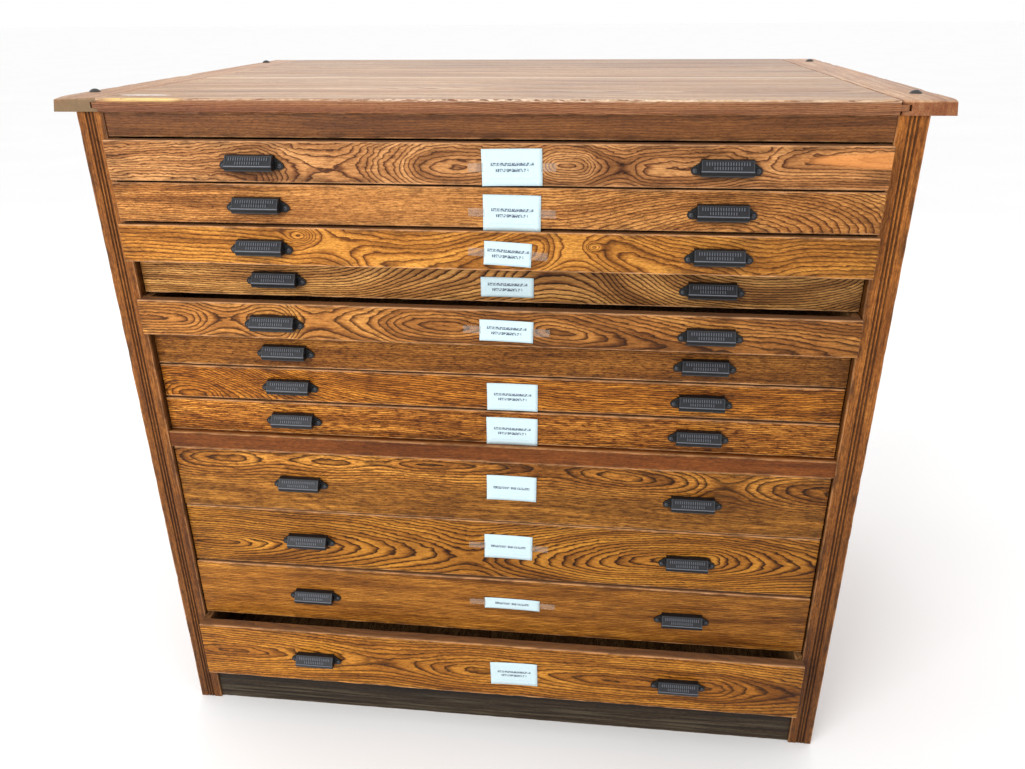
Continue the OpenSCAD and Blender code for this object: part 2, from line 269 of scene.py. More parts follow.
def wood(name, centre, order, length, figure, tones, seed=0.0, **options):
    """Varnished board with its growth rings. Tones are the light, middle and dark ones."""
    look = {**WOOD_LOOK, **options}
    paint = Paint(name)
    space = paint.space(centre, order)
    if look["turned"]:
        space = look["turned"](space)
    share = space[0] / length + 0.5
    colour, rings = ring_colour(paint, space, length, figure, tones, seed, look)
    blotch = paint.noise(space, (260, 70, 60), 3.0, 0.6, seed + 17)
    stain_and_shadow = paint.ramp(blotch, [(0.3, (188, 176, 168)), (0.5, (236, 232, 228)), (0.7, (255, 255, 255))])
    colour = paint.mix(look["stained"], colour, stain_and_shadow, "MULTIPLY")
    tone = paint.curve(share, look["tone"], 0, 2)
    colour = paint.mix(1.0, colour, paint.vector((tone, tone, tone)), "MULTIPLY")
    colour, fibre, pore = grain_colour(paint, space, colour, tones[2], seed, look)
    colour = aged_colour(paint, space, colour, seed, look)
    paint.bump(fibre * 0.6 - pore * 0.7 + rings * 0.35, 0.35)
    return paint.finish(colour, look["gloss"] + (blotch - 0.5) * 0.25 + pore * 0.2, shine=look["shine"])


def ring_colour(paint, space, length, figure, tones, seed, look):
    """The colour of the growth rings, and their relief."""
    along, across, depth = space
    distance = growth_rings(paint, space, length, figure, seed)
    uneven = paint.noise(space, (400, 30, 30), 2.0, 0.5, seed + 7)
    ring = (distance / figure["spacing"] + uneven * 1.6).apply("FRACT")
    light, mid, deep = tones
    between = [(a + b) / 2 for a, b in zip(mid, deep)]
    banded = paint.ramp(ring, [(0.0, deep), (0.04, between), (0.11, light), (0.56, light), (0.77, mid),
                               (0.9, between), (0.95, deep), (1.0, deep)])
    group = paint.noise((distance, along * 0.04, across * 0.02), (11, 11, 11), 2.0, 0.6, seed + 9)
    zone = paint.ramp(group, [(0.34, (142, 118, 98)), (0.48, (216, 202, 190)), (0.62, (255, 255, 255))])
    banded = paint.mix(look["zoned"], banded, zone, "MULTIPLY")
    even = paint.noise(space, (160 * figure.get("long", 1.0), 7, 12), 3.0, 0.6, seed + 11)
    plain = paint.ramp(even, [(0.25, between), (0.5, mid), (0.75, light)])
    bold = look["bold"]
    strength = paint.curve(along / length + 0.5, figure.get("bold", [(0, bold), (1, bold)]), 0, 1)
    if look["fade"]:
        strength = strength * (1 - distance.within(look["fade"] * 0.4, look["fade"]) * 0.75)
    return paint.mix(strength, plain, banded), ring * strength


def grain_colour(paint, space, colour, deep, seed, look):
    """A colour with fibres, speckles and pores over it, and the fibres and pores themselves."""
    fibre = paint.noise(space, (45, 0.9, 1.5), 3.0, 0.65, seed + 23)
    streak = paint.ramp(fibre, [(0.3, (164, 150, 136)), (0.5, (234, 229, 223)), (0.68, (255, 255, 255))])
    colour = paint.mix(look["fibres"], colour, streak, "MULTIPLY")
    grain = paint.noise(space, (look["speck_long"], 2.4, 3), 3.0, 0.75, seed + 27)
    speckle = paint.ramp(grain, [(0.38, (108, 80, 52)), (0.5, (218, 206, 190)), (0.6, (255, 255, 255))])
    colour = paint.mix(look["speckled"], colour, speckle, "MULTIPLY")
    pore = paint.noise(space, (7, 0.8, 0.8), 2.0, 0.6, seed + 29).within(0.60, 0.68)
    colour = paint.mix(pore * look["pores"], colour, srgb(*[c * 0.45 for c in deep]))
    return colour, fibre, pore


def aged_colour(paint, space, colour, seed, look):
    """A colour with dark flecks, worn arrises, patches darker near the edges and the board's own marks."""
    along, across, depth = space
    fleck = paint.noise(space, (5, 4, 5), 1.0, 0.4, seed + 31).within(0.76, 0.80)
    colour = paint.mix(fleck * 0.75, colour, srgb(46, 26, 14))
    if look["half"]:
        half_tall, half_long = look["half"]
        edge = edge_wear(paint, space, look["half"], seed)
        at_face = depth.size().within(8, 3)
        colour = paint.mix(edge * at_face * look["worn"], colour, srgb(*look["worn_tone"]))
        rim = (half_tall - across.size()).within(16, 2)
        ends = (half_long - along.size()).within(60, 4)
        # patches darker within 16 mm of the face's edges and ends
        edge_patches = paint.noise(space, (40, 12, 20), 3.0, 0.6, seed + 41).within(0.42, 0.66)
        darker_edges = rim.apply("MAXIMUM", ends) * edge_patches * at_face * look["grime"]
        colour = paint.mix(darker_edges, colour, srgb(52, 30, 16))
    for amount, tone, blend in look["marks"]:
        colour = paint.mix(amount(paint, *space), colour, srgb(*tone), blend)
    return colour


def edge_wear(paint, space, half, seed):
    """1 on the parts of a board's long arrises where the varnish has worn off, and less at its ends."""
    along, across, depth = space
    patches = (paint.noise(space, (30, 6, 6), 4.0, 0.7, seed + 37) - 0.5) * 6.0
    long_arris = (half[0] - across.size() + patches + 0.6).within(3.2, 1.0)
    end_arris = (half[1] - along.size() + patches + 1.2).within(2.0, 0.8)
    return long_arris.apply("MAXIMUM", end_arris * 0.5)


STRAIGHT = {"depth": [(0, 30), (0.5, 26), (1, 34)], "height": [(0, -150), (0.5, -156), (1, -148)],
            "spacing": 3.6, "crinkle": 2.4, "wander": 10}

# the figure of each drawer front: its depth and height curves run along its length, 0 to 1
FIGURES = {
    1: {"spacing": 3.4, "crinkle": 5,
        "depth": [(0, 20), (0.12, 24), (0.2, 34), (0.26, 58), (0.31, 62), (0.38, 44), (0.46, 18),
                  (0.56, 24), (0.612, 3), (0.65, 20), (0.68, 27), (0.71, 20), (0.75, 18),
                  (0.8, 20), (0.84, 27), (0.88, 20), (1, 14)],
        "height": [(0, -46), (0.12, -40), (0.2, -24), (0.3, -10), (0.45, -4), (0.6, 0), (0.75, -4),
                   (0.85, 6), (0.9, 11), (1, 12)]},
    2: {"spacing": 3.3, "crinkle": 3, "wander": 12,
        "depth": [(0, 20), (0.15, 26), (0.3, 24), (0.5, 34), (0.62, 42), (0.72, 26), (0.8, 12), (0.86, 22),
                  (1, 62)],
        "height": [(0, -74), (0.3, -70), (0.42, -60), (0.6, -52), (0.72, -42), (0.85, -32), (1, -28)],
        "bold": [(0, 0.9), (0.2, 0.8), (0.3, 0.3), (0.45, 0.35), (0.52, 0.8), (0.8, 1), (1, 1)]},
    3: {"spacing": 5.4, "crinkle": 4,
        "depth": [(0, 20), (0.15, 20), (0.22, 26), (0.3, 52), (0.36, 40), (0.5, 24), (0.56, 14),
                  (0.62, 40), (0.68, 22), (0.8, 18), (0.86, 34), (0.92, 20), (1, 18)],
        "height": [(0, 50), (0.2, 40), (0.27, 20), (0.4, -34), (0.5, -24), (0.58, 4), (0.64, 8),
                   (0.75, -30), (1, -44)],
        "knots": [(-276, 17, 20, 11, 24), (166, 9, 10, 7, 20)]},
    4: {"spacing": 3.2, "crinkle": 2.4, "wander": 10,
        "depth": [(0, 22), (0.15, 24), (0.25, 34), (0.4, 76), (0.5, 96), (0.6, 112), (0.7, 84), (0.8, 46),
                  (0.88, 34), (1, 60)],
        "height": [(0, 60), (0.2, 56), (0.35, 44), (0.6, 42), (0.8, 48), (1, 56)]},
    5: {"spacing": 4.6, "crinkle": 4,
        "depth": [(0, 4), (0.06, 8), (0.13, 30), (0.2, 16), (0.25, 44), (0.33, 34), (0.4, 12),
                  (0.45, 6), (0.5, 14), (0.55, 18), (0.6, 8), (0.66, 18), (0.75, 30), (0.9, 36), (1, 44)],
        "height": [(0, 2), (0.2, 0), (0.45, 2), (0.6, -4), (0.75, -22), (1, -40)]},
    6: STRAIGHT,
    7: {"spacing": 3.5, "crinkle": 2.4,
        "depth": [(0, 30), (0.05, 20), (0.1, 34), (0.2, 50), (0.35, 60), (1, 60)],
        "height": [(0, -20), (0.1, -34), (0.2, -70), (0.4, -100), (1, -110)]},
    8: STRAIGHT,
    9: {"spacing": 4.6, "crinkle": 3,
        "depth": [(0, 20), (0.09, 8), (0.16, 16), (0.25, 8), (0.33, 14), (0.4, 6), (0.5, 12), (0.6, 20),
                  (0.66, 10), (0.7, 6), (0.75, 14), (0.8, 24), (0.85, 36), (0.9, 27), (0.96, 14), (1, 8)],
        "height": [(0, 40), (0.25, 44), (0.4, 48), (0.7, 43), (0.85, 34), (1, 30)]},
    10: {"spacing": 4.5, "crinkle": 4,
         "depth": [(0, 6), (0.06, 4), (0.12, 14), (0.2, 28), (0.3, 44), (0.4, 58), (0.47, 66), (0.52, 56),
                   (0.6, 40), (0.68, 22), (0.76, 8), (0.82, 6), (0.88, 22), (0.94, 36), (1, 46)],
         "height": [(0, -18), (0.1, -20), (0.3, -14), (0.5, -20), (0.65, -10), (0.8, 2), (1, 4)]},
    11: STRAIGHT,
    12: {"spacing": 5.4, "crinkle": 4,
         "depth": [(0, 8), (0.06, 4), (0.13, 14), (0.2, 26), (0.3, 38), (0.37, 34), (0.42, 24), (0.48, 16),
                   (0.55, 22), (0.62, 14), (0.7, 6), (0.78, 10), (0.86, 12), (0.9, 24), (0.95, 34), (1, 40)],
         "height": [(0, 6), (0.2, 2), (0.4, -2), (0.7, -4), (1, -6)]},
}
# light, middle and dark tones of each drawer front, then how porous, ringed and speckled it is
# and how long its speckles are in millimetres
FRONT_TONES = {
    1: ((242, 182, 118), (198, 140, 88), (94, 56, 32), 0.2, 0.95, 0.4, 9),
    2: ((255, 188, 108), (212, 148, 82), (116, 68, 34), 0.3, 1.0, 0.6, 9),
    3: ((255, 184, 84), (212, 144, 60), (108, 60, 18), 0.25, 0.9, 0.5, 9),
    4: ((255, 198, 116), (190, 132, 72), (54, 32, 14), 0.3, 1.0, 0.4, 14),
    5: ((242, 174, 92), (178, 120, 58), (78, 44, 16), 0.25, 0.9, 0.5, 12),
    6: ((228, 160, 74), (172, 112, 44), (84, 48, 10), 1.0, 0.5, 0.8, 12),
    7: ((254, 174, 66), (196, 128, 40), (92, 54, 8), 0.5, 0.95, 0.9, 24),
    8: ((250, 174, 76), (190, 126, 46), (92, 54, 10), 0.6, 0.9, 1.0, 18),
    9: ((244, 174, 78), (176, 121, 48), (76, 46, 12), 0.7, 0.95, 0.8, 16),
    10: ((244, 174, 68), (178, 118, 36), (70, 38, 4), 0.3, 1.0, 0.5, 12),
    11: ((232, 164, 70), (186, 124, 46), (98, 58, 16), 0.6, 0.7, 0.65, 32),
    12: ((244, 170, 66), (186, 122, 38), (80, 46, 8), 0.3, 0.9, 0.6, 12),
}
# how light a front is along its length: its left end catches more light than its right
FRONT_TONE_CURVE = [(0, 1.16), (0.3, 1.12), (0.6, 0.98), (0.85, 0.92), (1, 0.88)]
FRONT_TONE_CURVES = {
    1: [(0, 1.12), (0.3, 1.06), (0.6, 1.0), (0.85, 1.06), (1, 1.18)],
    4: [(0, 1.2), (0.3, 1.14), (0.6, 0.97), (0.85, 0.74), (1, 0.6)],
    5: [(0, 1.15), (0.3, 1.03), (0.6, 0.94), (0.85, 0.93), (1, 0.9)],
    6: [(0, 1.04), (0.3, 1.04), (0.6, 0.95), (0.85, 0.8), (1, 0.72)],
    8: [(0, 1.32), (0.3, 1.16), (0.6, 1.0), (0.85, 0.95), (1, 0.92)],
    10: [(0, 0.94), (0.3, 0.94), (0.6, 0.86), (0.85, 0.88), (1, 0.84)],
    12: [(0, 1.12), (0.3, 0.96), (0.6, 0.88), (0.85, 0.85), (1, 0.78)],
}
RING_FADES = {9: 60}  # the fronts whose rings fade out, and how far from the heart they do
FRONT_SHINE = 0.14
OLD_EDGE = (104, 74, 54)
# colour of the painted shadow under the pulls
PULL_SHADOW_TONE = (50, 28, 12)
LENS = (214, 138, 74)


def middle(low, high):
    return (low + high) / 2


def pull_spots(number):
    """The middles of a drawer's two pulls, and the height of their lower edges."""
    low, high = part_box(drawer(number) + "_pulls")
    return (low.x + PULL_WIDE / 2, high.x - PULL_WIDE / 2), low.z


def painted_pull_shadow(number, centre, paint, along, across, depth):
    """Painted shadow on a drawer front just under its pulls, where they cast shade."""
    places, foot = pull_spots(number)
    below = (across - (foot - centre.z) / MM + 2) / 8
    stain_and_shadow = None
    for x in places:
        beside = (along - (x - centre.x) / MM) / 44
        spot = (1 - beside.squared()).within(0, 0.5) * (1 - below.squared()).within(0, 0.9)
        stain_and_shadow = spot if stain_and_shadow is None else stain_and_shadow + spot
    return stain_and_shadow * 0.55


def plain_lens(paint, along, across, depth):
    """The bright lens without rings at the right end of the first drawer's front."""
    start, reach, middle_height, half_tall = 425, 145, 10, 13
    half = ((along - start) / reach).apply("MAXIMUM", 0) * half_tall ** 2
    return (half - (across - middle_height).squared()).within(0, 70) * 0.75


def behind_face(paint, along, across, depth):
    """1 on a front's top, ends and bottom, just behind its face."""
    return depth.within(1.4, 4) * 0.8


def front_wood(number):
    """The wood of one drawer's front."""
    low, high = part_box(drawer(number) + "_front")
    size = (high - low) / MM
    light, mid, dark, pores, bold, speckled, speck_long = FRONT_TONES[number]
    centre = Vector((middle(low.x, high.x), low.y, middle(low.z, high.z)))
    # the first mark is painted shadow under the pulls
    marks = [(partial(painted_pull_shadow, number, centre), PULL_SHADOW_TONE, "MIX"), (behind_face, OLD_EDGE, "MIX")]
    if number == 1:
        marks.insert(0, (plain_lens, LENS, "MIX"))
    return wood(f"front_wood_{number:02d}", centre, "xzy", size.x, FIGURES[number], (light, mid, dark),
                seed=number * 5.3, half=(size.z / 2, size.x / 2), pores=pores, bold=bold,
                speckled=speckled, speck_long=speck_long, marks=marks, shine=FRONT_SHINE,
                tone=FRONT_TONE_CURVES.get(number, FRONT_TONE_CURVE), fade=RING_FADES.get(number))


def plain_wood(name, centre, order, length, tones, **options):
    """Wood with straight grain. A figure option changes single values of the straight one."""
    figure = dict(STRAIGHT, **options.pop("figure", {}))
    return wood(name, centre, order, length, figure, tones, **options)


# ---------------------------------------------------------------- other materials


def iron_paint():
    """Black japanned cast iron, rubbed grey on its high parts, where it also stands in for their highlights;
    painted highlights along the face's foot and the lip's lower edge, and painted shade on the lip. Its
    space is one pull's own.
    """
    paint = Paint("cast_iron")
    space = paint.space((0, 0, 0), "xyz")
    across, outward, up = space
    cast = paint.noise(space, (1.1, 1.1, 1.1), 3.0, 0.6)
    rubbed = paint.noise(space, (9, 5, 5), 3.0, 0.6, 4.0)
    colour = paint.ramp(rubbed, [(0.3, (16, 16, 17)), (0.55, (24, 24, 26)), (0.8, (38, 39, 42))])
    slope = Vector(PULL_FACE_FOOT) - Vector(PULL_FACE_TOP)
    out = Vector((0, slope.z, -slope.y)).normalized()
    height = outward * out.y + up * out.z - Vector(PULL_FACE_TOP).dot(out) / MM
    on_body = across.size().within(PULL_BODY / 2 / MM + 0.2, PULL_BODY / 2 / MM - 0.4)
    foot = (up - PULL_FACE_FOOT[2] / MM - 0.4).size().within(0.9, 0.3) * outward.within(-16, -18)
    lip_shade = up.within(6.6, 6.0) * outward.within(-10, -14)
    bead_highlight = (up - 1.0).size().within(0.9, 0.4) * outward.within(-10, -14)
    from_screw = ((across.size() - EAR_SCREW_X / MM).squared() + (up - EAR_SCREW_Z / MM).squared()).root()
    screw = from_screw.within(4.0, 3.4) * outward.within(-EAR_THICK / MM - 0.2, -EAR_THICK / MM - 0.8)
    layers = [
        (height.within(-0.6, -0.1) * on_body * 0.6, (44, 45, 49)),
        (cast.within(0.45, 0.7) * 0.5, (18, 17, 19)),
        # rubbed grey on the raised ribs and border, also standing in for their highlights
        (height.within(0.2, 0.8) * on_body * 0.7, (104, 107, 115)),
        # painted highlight along the foot of the face
        (foot * 0.6, (128, 131, 139)),
        # painted shade on the lip below the face
        (lip_shade * 0.75, (15, 14, 15)),
        # painted highlight along the lip's lower edge
        (bead_highlight * 0.5, (74, 74, 78)),
        (screw * 0.6, (82, 83, 88)),
    ]
    for amount, tone in layers:
        colour = paint.mix(amount, colour, srgb(*tone))
    paint.bump(cast, 0.35)
    return paint.finish(colour, rubbed * 0.25 + 0.3, metallic=0.1, shine=0.3)


def steel_paint():
    """Dull dark steel of the bolts, a little rusty."""
    paint = Paint("dark_steel")
    space = paint.space((0, 0, 0), "xyz")
    fine = paint.noise(space, (1.6, 1.6, 1.6), 3.0, 0.6)
    rust = paint.noise(space, (6, 6, 6), 3.0, 0.6, 2.0)
    colour = paint.ramp(fine, [(0.3, (52, 50, 50)), (0.7, (84, 82, 80))])
    colour = paint.mix(rust.within(0.55, 0.75) * 0.6, colour, srgb(92, 60, 40))
    paint.bump(fine, 0.25)
    return paint.finish(colour, fine * 0.3 + 0.35, metallic=0.5)


def card_paint(name, lines):
    """White card with short lines of small print too blurred to read: their heights and half lengths."""
    paint = Paint(name)
    space = paint.space((0, 0, 0), "xzy")
    along, across, depth = space
    fibre = paint.noise(space, (3, 3, 3), 3.0, 0.6)
    colour = paint.ramp(fibre, [(0.3, (190, 212, 218)), (0.7, (200, 221, 226))])
    for row, reach in lines:
        line = (across - row).size().within(2.7, 2.0) * along.size().within(reach + 1, reach)
        words = paint.noise(space, (6, 80, 80), 1.0, 0.4, row).within(0.34, 0.40)
        strokes = paint.noise(space, (1.7, 2.4, 9), 2.0, 0.6, row + 2).within(0.42, 0.54)
        colour = paint.mix(line * words * (strokes * 0.85 + 0.1), colour, srgb(58, 68, 90))
    ruled = (across + 16).size().within(0.5, 0.2) * along.size().within(34, 33)
    colour = paint.mix(ruled * 0.4, colour, srgb(150, 175, 200))
    paint.bump(fibre, 0.1)
    return paint.finish(colour, fibre * 0.1 + 0.5)


def tape_paint():
    """Clear tape that has gone a little grey, with small creases."""
    paint = Paint("clear_tape")
    space = paint.space((0, 0, 0), "xzy")
    crease = paint.noise(space, (2.5, 14, 8), 3.0, 0.6)
    colour = paint.ramp(crease, [(0.3, (176, 164, 150)), (0.7, (206, 196, 184))])
    paint.bump(crease, 0.4)
    return paint.finish(colour, crease * 0.2 + 0.14, alpha=0.13)


def floor_paint():
    paint = Paint("pale_floor")
    space = paint.space((0, 0, 0), "xyz")
    cloud = paint.noise(space, (900, 900, 900), 2.0, 0.5)
    colour = paint.ramp(cloud, [(0.3, (251, 251, 251)), (0.7, (254, 254, 254))])
    return paint.finish(colour, cloud * 0.1 + 0.6)


# ---------------------------------------------------------------- mesh helpers


SHARP = math.radians(35)  # edges that turn more than this stay sharp


def new_object(name, bm, material):
    """An object from a bmesh, smooth but for its sharp edges."""
    bmesh.ops.recalc_face_normals(bm, faces=bm.faces)
    for face in bm.faces:
        face.smooth = True
    for edge in bm.edges:
        edge.smooth = edge.calc_face_angle(0) < SHARP
    mesh = bpy.data.meshes.new(name)
    bm.to_mesh(mesh)
    bm.free()
    mesh.materials.append(material)
    thing = bpy.data.objects.new(name, mesh)
    bpy.context.scene.collection.objects.link(thing)
    return thing


def weighted(thing):
    """Keeps the broad faces' shading flat beside small rounded ones."""
    modifier = thing.modifiers.new("normals", "WEIGHTED_NORMAL")
    modifier.keep_sharp = True
    return thing


def rounded(thing, width_mm, limit=SHARP):
    """Takes a thing's sharp arrises off."""
    modifier = thing.modifiers.new("arrises", "BEVEL")
    modifier.width = width_mm * MM
    modifier.segments = 2
    modifier.limit_method = "ANGLE"
    modifier.angle_limit = limit
    modifier.use_clamp_overlap = True


def dress(node, material, round_mm):
    """Gives a CAD node its material, and takes its arrises off."""
    thing = NODES[node]
    thing.data.materials.clear()
    thing.data.materials.append(material)
    weld = thing.modifiers.new("weld", "WELD")
    weld.merge_threshold = NEAR
    rounded(thing, round_mm)


def islands(bm):
    """The separate solids of a bmesh, as lists of vertices."""
    left = set(bm.verts)
    found = []
    while left:
        group = [left.pop()]
        for vert in group:
            for edge in vert.link_edges:
                other = edge.other_vert(vert)
                if other in left:
                    left.remove(other)
                    group.append(other)
        found.append(group)
    return found


def limits(verts):
    """The lowest and highest corners of some vertices."""
    low = Vector([min(v.co[axis] for v in verts) for axis in range(3)])
    high = Vector([max(v.co[axis] for v in verts) for axis in range(3)])
    return low, high


def sides_touched(points, low, high, near):
    """The box sides, as (axis, sign), that all the points lie on."""
    sides = []
    for axis in range(3):
        for sign, limit in ((-1, low), (1, high)):
            if all(abs(p[axis] - limit[axis]) < near for p in points):
                sides.append((axis, sign))
    return sides


WEAR_STEP = 0.012
BROAD_WEAR = 38  # waves of wear in a metre
FINE_WEAR = 150


def worn_board(node, body, material, wear_mm, axis=0, radius_mm=1.5, dents=()):
    """A copy of a CAD node of plain boards with rounded and unevenly worn arrises.

    The boards are cut into steps along an axis so that the wear can vary. Each dent is
    (point, reach, depth) in metres, and wears the arrises near that point further.
    """
    bm = bmesh.new()
    bm.from_mesh(NODES[node].data)
    bmesh.ops.remove_doubles(bm, verts=bm.verts, dist=NEAR)
    bmesh.ops.dissolve_limit(bm, angle_limit=math.radians(0.5), verts=bm.verts, edges=bm.edges)
    low, high = limits(bm.verts)
    normal = Vector([float(axis == a) for a in range(3)])
    count = int((high[axis] - low[axis]) / WEAR_STEP)
    for i in range(1, count):
        cut = low + normal * (high[axis] - low[axis]) * i / count
        geometry = bm.verts[:] + bm.edges[:] + bm.faces[:]
        bmesh.ops.bisect_plane(bm, geom=geometry, plane_co=cut, plane_no=normal, dist=0.005 * MM)
    boxes = [limits(group) for group in islands(bm)]
    arrises = []
    for edge in bm.edges:
        ends = [v.co for v in edge.verts]
        if any(len(sides_touched(ends, *box, NEAR)) == 2 for box in boxes):
            arrises.append(edge)
    bmesh.ops.bevel(bm, geom=arrises, offset=radius_mm * MM, segments=3, profile=0.5,
                    affect="EDGES", clamp_overlap=True)
    for group in islands(bm):
        wear_arrises(group, radius_mm * MM, wear_mm * MM, dents)
    piece = weighted(new_object(node + "_worn", bm, material))
    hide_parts(node)
    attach(piece, body)


def wear_arrises(verts, radius, wear, dents):
    """Moves the vertices along one board's arrises inward, by an uneven amount."""
    low, high = limits(verts)
    for vert in verts:
        sides = sides_touched([vert.co], low, high, radius * 0.99)
        if len(sides) < 2:
            continue
        inward = Vector((0, 0, 0))
        for axis, sign in sides:
            inward[axis] -= sign
        broad = noise.noise(vert.co * BROAD_WEAR)
        fine = noise.noise(vert.co * FINE_WEAR)
        amount = wear * max(0.0, broad + 0.5 * fine)
        for point, reach, depth in dents:
            fall = max(0.0, 1 - (vert.co - Vector(point)).length / reach)
            amount += depth * fall * fall
        vert.co += inward.normalized() * amount


def solid_between(bm, start, end):
    """A closed solid between two outlines, which are lists of as many points."""
    near = [bm.verts.new(point) for point in start]
    far = [bm.verts.new(point) for point in end]
    for i in range(len(near)):
        j = (i + 1) % len(near)
        bm.faces.new((near[i], near[j], far[j], far[i]))
    bm.faces.new(near)
    bm.faces.new(far)


def prism(bm, outline, start, end):
    """A closed solid between two x places. The outline is (y, z) points."""
    solid_between(bm, *[[(x, y, z) for y, z in outline] for x in (start, end)])


ROUND_STEPS = 32


def lathe(bm, profile, centre, axis_turn):
    """A solid of revolution. The profile is (radius, height) points, first and last on the axis."""
    rings = []
    for radius, height in profile:
        ring = []
        for i in range(ROUND_STEPS if radius > 0 else 1):
            angle = 2 * math.pi * i / ROUND_STEPS
            point = Vector((radius * math.cos(angle), radius * math.sin(angle), height))
            ring.append(bm.verts.new(centre + axis_turn @ point))
        rings.append(ring)
    for lower, upper in zip(rings, rings[1:]):
        for i in range(ROUND_STEPS):
            j = (i + 1) % ROUND_STEPS
            corners = [lower[i % len(lower)], lower[j % len(lower)]]
            corners += [upper[j % len(upper)], upper[i % len(upper)]]
            bm.faces.new(list(dict.fromkeys(corners)))


def arc(centre, radius, start_deg, end_deg, steps):
    """Points along an arc round a centre."""
    points = []
    for i in range(steps + 1):
        angle = math.radians(start_deg + (end_deg - start_deg) * i / steps)
        points.append((centre[0] + radius * math.cos(angle), centre[1] + radius * math.sin(angle)))
    return points


# ---------------------------------------------------------------- wooden case

CASE_MIDDLE = 0.6  # the height that the case's woods are drawn round
CASE_TALL = 1200
RAIL_LONG = 1140
FLUTE_PITCH = 5.4
FLUTE_SHIFT = 1.0  # how far the flutes lie outward of a post's middle
MUNTIN_HALF = 30
PANEL_GROOVE = 6


def dark_flutes_and_inner_shade(side, size, paint, along, across, depth):
    """Where a front post is nearly black: in its flutes, and in painted shade on its inner side behind the
    face.
    """
    outward = -1 if side == "left" else 1
    nearest = (across - outward * FLUTE_SHIFT).size()
    for step in (-1, 1):
        nearest = nearest.apply("MINIMUM", (across - outward * FLUTE_SHIFT - step * FLUTE_PITCH).size())
    # painted shade on the post's inner side, just behind its face
    inner_shade = (across * -outward).within(size.x / 2 - 2.4, size.x / 2 - 1.2) * depth.within(2, 7)
    return (nearest.within(1.8, 1.0) * 0.7).apply("MAXIMUM", inner_shade * 0.6)


def painted_drawer_shadow(paint, along, across, depth):
    """Painted shadow on the upper part of the toe board, which the lowest drawer overhangs."""
    return across.within(2, 14) * 0.55


def solid_boxes(node):
    """The lowest and highest corners of each separate solid of a CAD node."""
    bm = bmesh.new()
    bm.from_mesh(NODES[node].data)
    bmesh.ops.remove_doubles(bm, verts=bm.verts, dist=NEAR)
    boxes = [limits(group) for group in islands(bm)]
    bm.free()
    return boxes


def turned_muntins(panels, across_mm, space):
    """The space of a frame's wood, with the grain upright in the muntins between its panels."""
    along, across, depth = space
    spans = sorted({(round(low.z / MM, 1), round(high.z / MM, 1)) for low, high in solid_boxes(panels)})
    upright = along * 0
    for low, high in spans:
        foot = low + PANEL_GROOVE - CASE_MIDDLE / MM
        head = high - PANEL_GROOVE - CASE_MIDDLE / MM
        upright = upright + (across - foot).within(0, 0.2) * (head - across).within(0, 0.2)
    upright = upright * (MUNTIN_HALF - (along - across_mm).size()).within(0, 0.2)
    return [along + (across - along) * upright, across + (along - across) * upright, depth]


def scuffed_foot(paint, along, across, depth):
    """Long pale scuffs on the lower half of the toe board."""
    streaks = paint.noise((along, across, depth), (220, 5, 20), 4.0, 0.7, 61).within(0.44, 0.66)
    return streaks * across.within(12, -14) * 0.5


# how light the front posts are from the floor up
POST_TONE_CURVES = {
    "left": [(0, 0.64), (0.25, 0.77), (0.5, 0.96), (1, 1.13)],
    "right": [(0, 0.58), (0.25, 0.72), (0.5, 1.02), (0.7, 1.26), (0.85, 1.36), (1, 1.45)],
}
BROWN = ((206, 138, 66), (166, 105, 46), (100, 57, 20))
TOP_RAIL_TONES = ((170, 112, 58), (143, 91, 46), (106, 63, 28))
DIVIDER_TONES = ((170, 102, 46), (146, 84, 36), (94, 50, 20))
TOE_TONES = ((80, 66, 46), (55, 43, 29), (24, 16, 9))
RUNNER_TONES = ((186, 146, 100), (160, 120, 78), (120, 84, 50))
CASE_LOOK = {"pores": 0.4, "bold": 0.3, "gloss": 0.45, "speckled": 0.6, "shine": 0.16}


def case_wood(name, order, **options):
    return plain_wood(name, (0, 0, CASE_MIDDLE), order, CASE_TALL, BROWN, **{**CASE_LOOK, **options})


def dress_frames():
    """The side frames, the back frame, their panels and the back posts."""
    upright = case_wood("case_wood", "zyx")
    for node in ("side_panels_left", "side_panels_right"):
        dress(node, upright, 0.6)
    dress("back_panels", case_wood("panel_wood", "zxy"), 0.6)
    for node in ("post_back_left", "post_back_right"):
        dress(node, upright, 1.2)
    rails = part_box("side_rails_left")
    turned = partial(turned_muntins, "side_panels_left", middle(rails[0].y, rails[1].y) / MM)
    side_frame = case_wood("frame_wood", "yzx", turned=turned)
    for node in ("side_rails_left", "side_rails_right"):
        dress(node, side_frame, 0.8)
    turned = partial(turned_muntins, "back_panels", 0)
    dress("back_rails", case_wood("back_frame_wood", "xzy", turned=turned), 0.8)


def dress_front_posts():
    for side in ("left", "right"):
        node = f"post_front_{side}"
        low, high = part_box(node)
        centre = Vector((middle(low.x, high.x), low.y, CASE_MIDDLE))
        size = (high - low) / MM
        # nearly black in the flutes, and painted shade on the inner side
        marks = [(partial(dark_flutes_and_inner_shade, side, size), (22, 14, 10), "MIX")]
        look = {**CASE_LOOK, "grime": 0.7, "worn": 0.3, "marks": marks}
        post = plain_wood(node + "_wood", centre, "zxy", CASE_TALL, BROWN, seed=3.0 + len(side),
                          half=(size.x / 2, size.z), tone=POST_TONE_CURVES[side], **look)
        worn_board(node, "case", post, axis=2, radius_mm=1.6, wear_mm=1.4)


def dress_cross_board(node, name, slot, tones, half_tall, wear_mm, **look):
    """A worn board that runs across the front. Its wear shows half_tall from its middle."""
    low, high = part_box(node)
    centre = Vector((0, low.y, middle(low.z, high.z)))
    board = plain_wood(name, centre, "xzy", RAIL_LONG, tones, pores=0.3, half=(half_tall, 700), **look)
    worn_board(node, "case", board, wear_mm=wear_mm)


